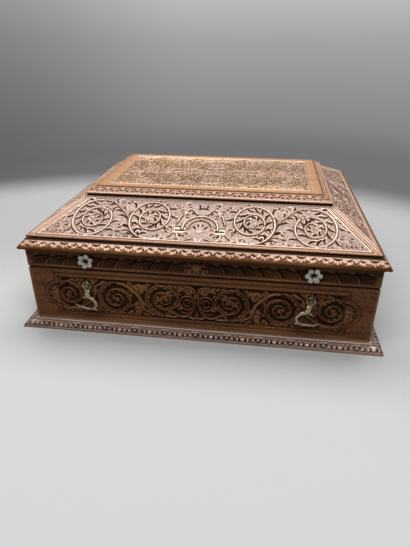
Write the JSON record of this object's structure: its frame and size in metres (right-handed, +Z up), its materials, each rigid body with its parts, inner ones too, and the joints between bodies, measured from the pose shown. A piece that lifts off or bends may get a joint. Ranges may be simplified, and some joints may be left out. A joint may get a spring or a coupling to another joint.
{
  "type": "wedding box",
  "caption": "Carved wooden wedding box on a moulded plinth, with a hipped hinged lid, flat framed top and brass hook latches that swing up onto studs in flower-shaped plates.",
  "frame": {"origin": "middle of the underside, on the surface that the box stands on", "axes": "+X along the front from left to right, +Y from the front to the hinged back, +Z up"},
  "size_m": [0.37, 0.322, 0.1317],
  "materials": {
    "case_wood": "waxed dark reddish brown, carved",
    "lid_wood": "waxed mid brown, carved, rubbed on the high places",
    "top_wood": "waxed golden brown with a carved field",
    "aged_brass": "cast, aged, rubbed bright on the edges",
    "pewter": "cast white metal, dull grey"
  },
  "bodies": {
    "case": {"bottom_board": "case_wood", "plinth_front": "case_wood", "plinth_right": "case_wood", "plinth_back": "case_wood", "plinth_left": "case_wood", "front_wall": "case_wood", "right_wall": "case_wood", "back_wall": "case_wood", "left_wall": "case_wood", "left_hook_pivot": "aged_brass", "right_hook_pivot": "aged_brass", "left_hinge_case_leaf": "aged_brass", "right_hinge_case_leaf": "aged_brass", "left_hinge_pin": "aged_brass", "right_hinge_pin": "aged_brass", "left_hinge_case_screw_outer": "aged_brass", "left_hinge_case_screw_inner": "aged_brass", "right_hinge_case_screw_outer": "aged_brass", "right_hinge_case_screw_inner": "aged_brass"},
    "lid": {"rim_front": "lid_wood", "rim_right": "lid_wood", "rim_back": "lid_wood", "rim_left": "lid_wood", "cornice_front": "lid_wood", "cornice_right": "lid_wood", "cornice_back": "lid_wood", "cornice_left": "lid_wood", "slope_front": "lid_wood", "slope_right": "lid_wood", "slope_back": "lid_wood", "slope_left": "lid_wood", "top_moulding_front": "lid_wood", "top_moulding_right": "lid_wood", "top_moulding_back": "lid_wood", "top_moulding_left": "lid_wood", "top_board_front": "top_wood", "top_board_back": "top_wood", "left_rosette": "pewter", "right_rosette": "pewter", "left_catch_stud": "aged_brass", "right_catch_stud": "aged_brass", "left_hinge_lid_leaf": "aged_brass", "right_hinge_lid_leaf": "aged_brass", "left_hinge_lid_screw_outer": "aged_brass", "left_hinge_lid_screw_inner": "aged_brass", "right_hinge_lid_screw_outer": "aged_brass", "right_hinge_lid_screw_inner": "aged_brass", "left_peg": "lid_wood", "right_peg": "lid_wood"},
    "left_hook": {"left_hook": "aged_brass"},
    "right_hook": {"right_hook": "aged_brass"}
  },
  "joints": [
    {"name": "lid_hinge", "type": "hinge", "parent": "case", "child": "lid", "pos_m": [0, 0.1517, 0.06715], "axis": [-1, 0, 0], "range_deg": [0, 160]},
    {"name": "left_hook_swing", "type": "hinge", "parent": "case", "child": "left_hook", "pos_m": [-0.111, -0.1538, 0.052], "axis": [0, 1, 0], "range_deg": [-140, 173]},
    {"name": "right_hook_swing", "type": "hinge", "parent": "case", "child": "right_hook", "pos_m": [0.111, -0.1538, 0.052], "axis": [0, -1, 0], "range_deg": [-128, 185]}
  ]
}
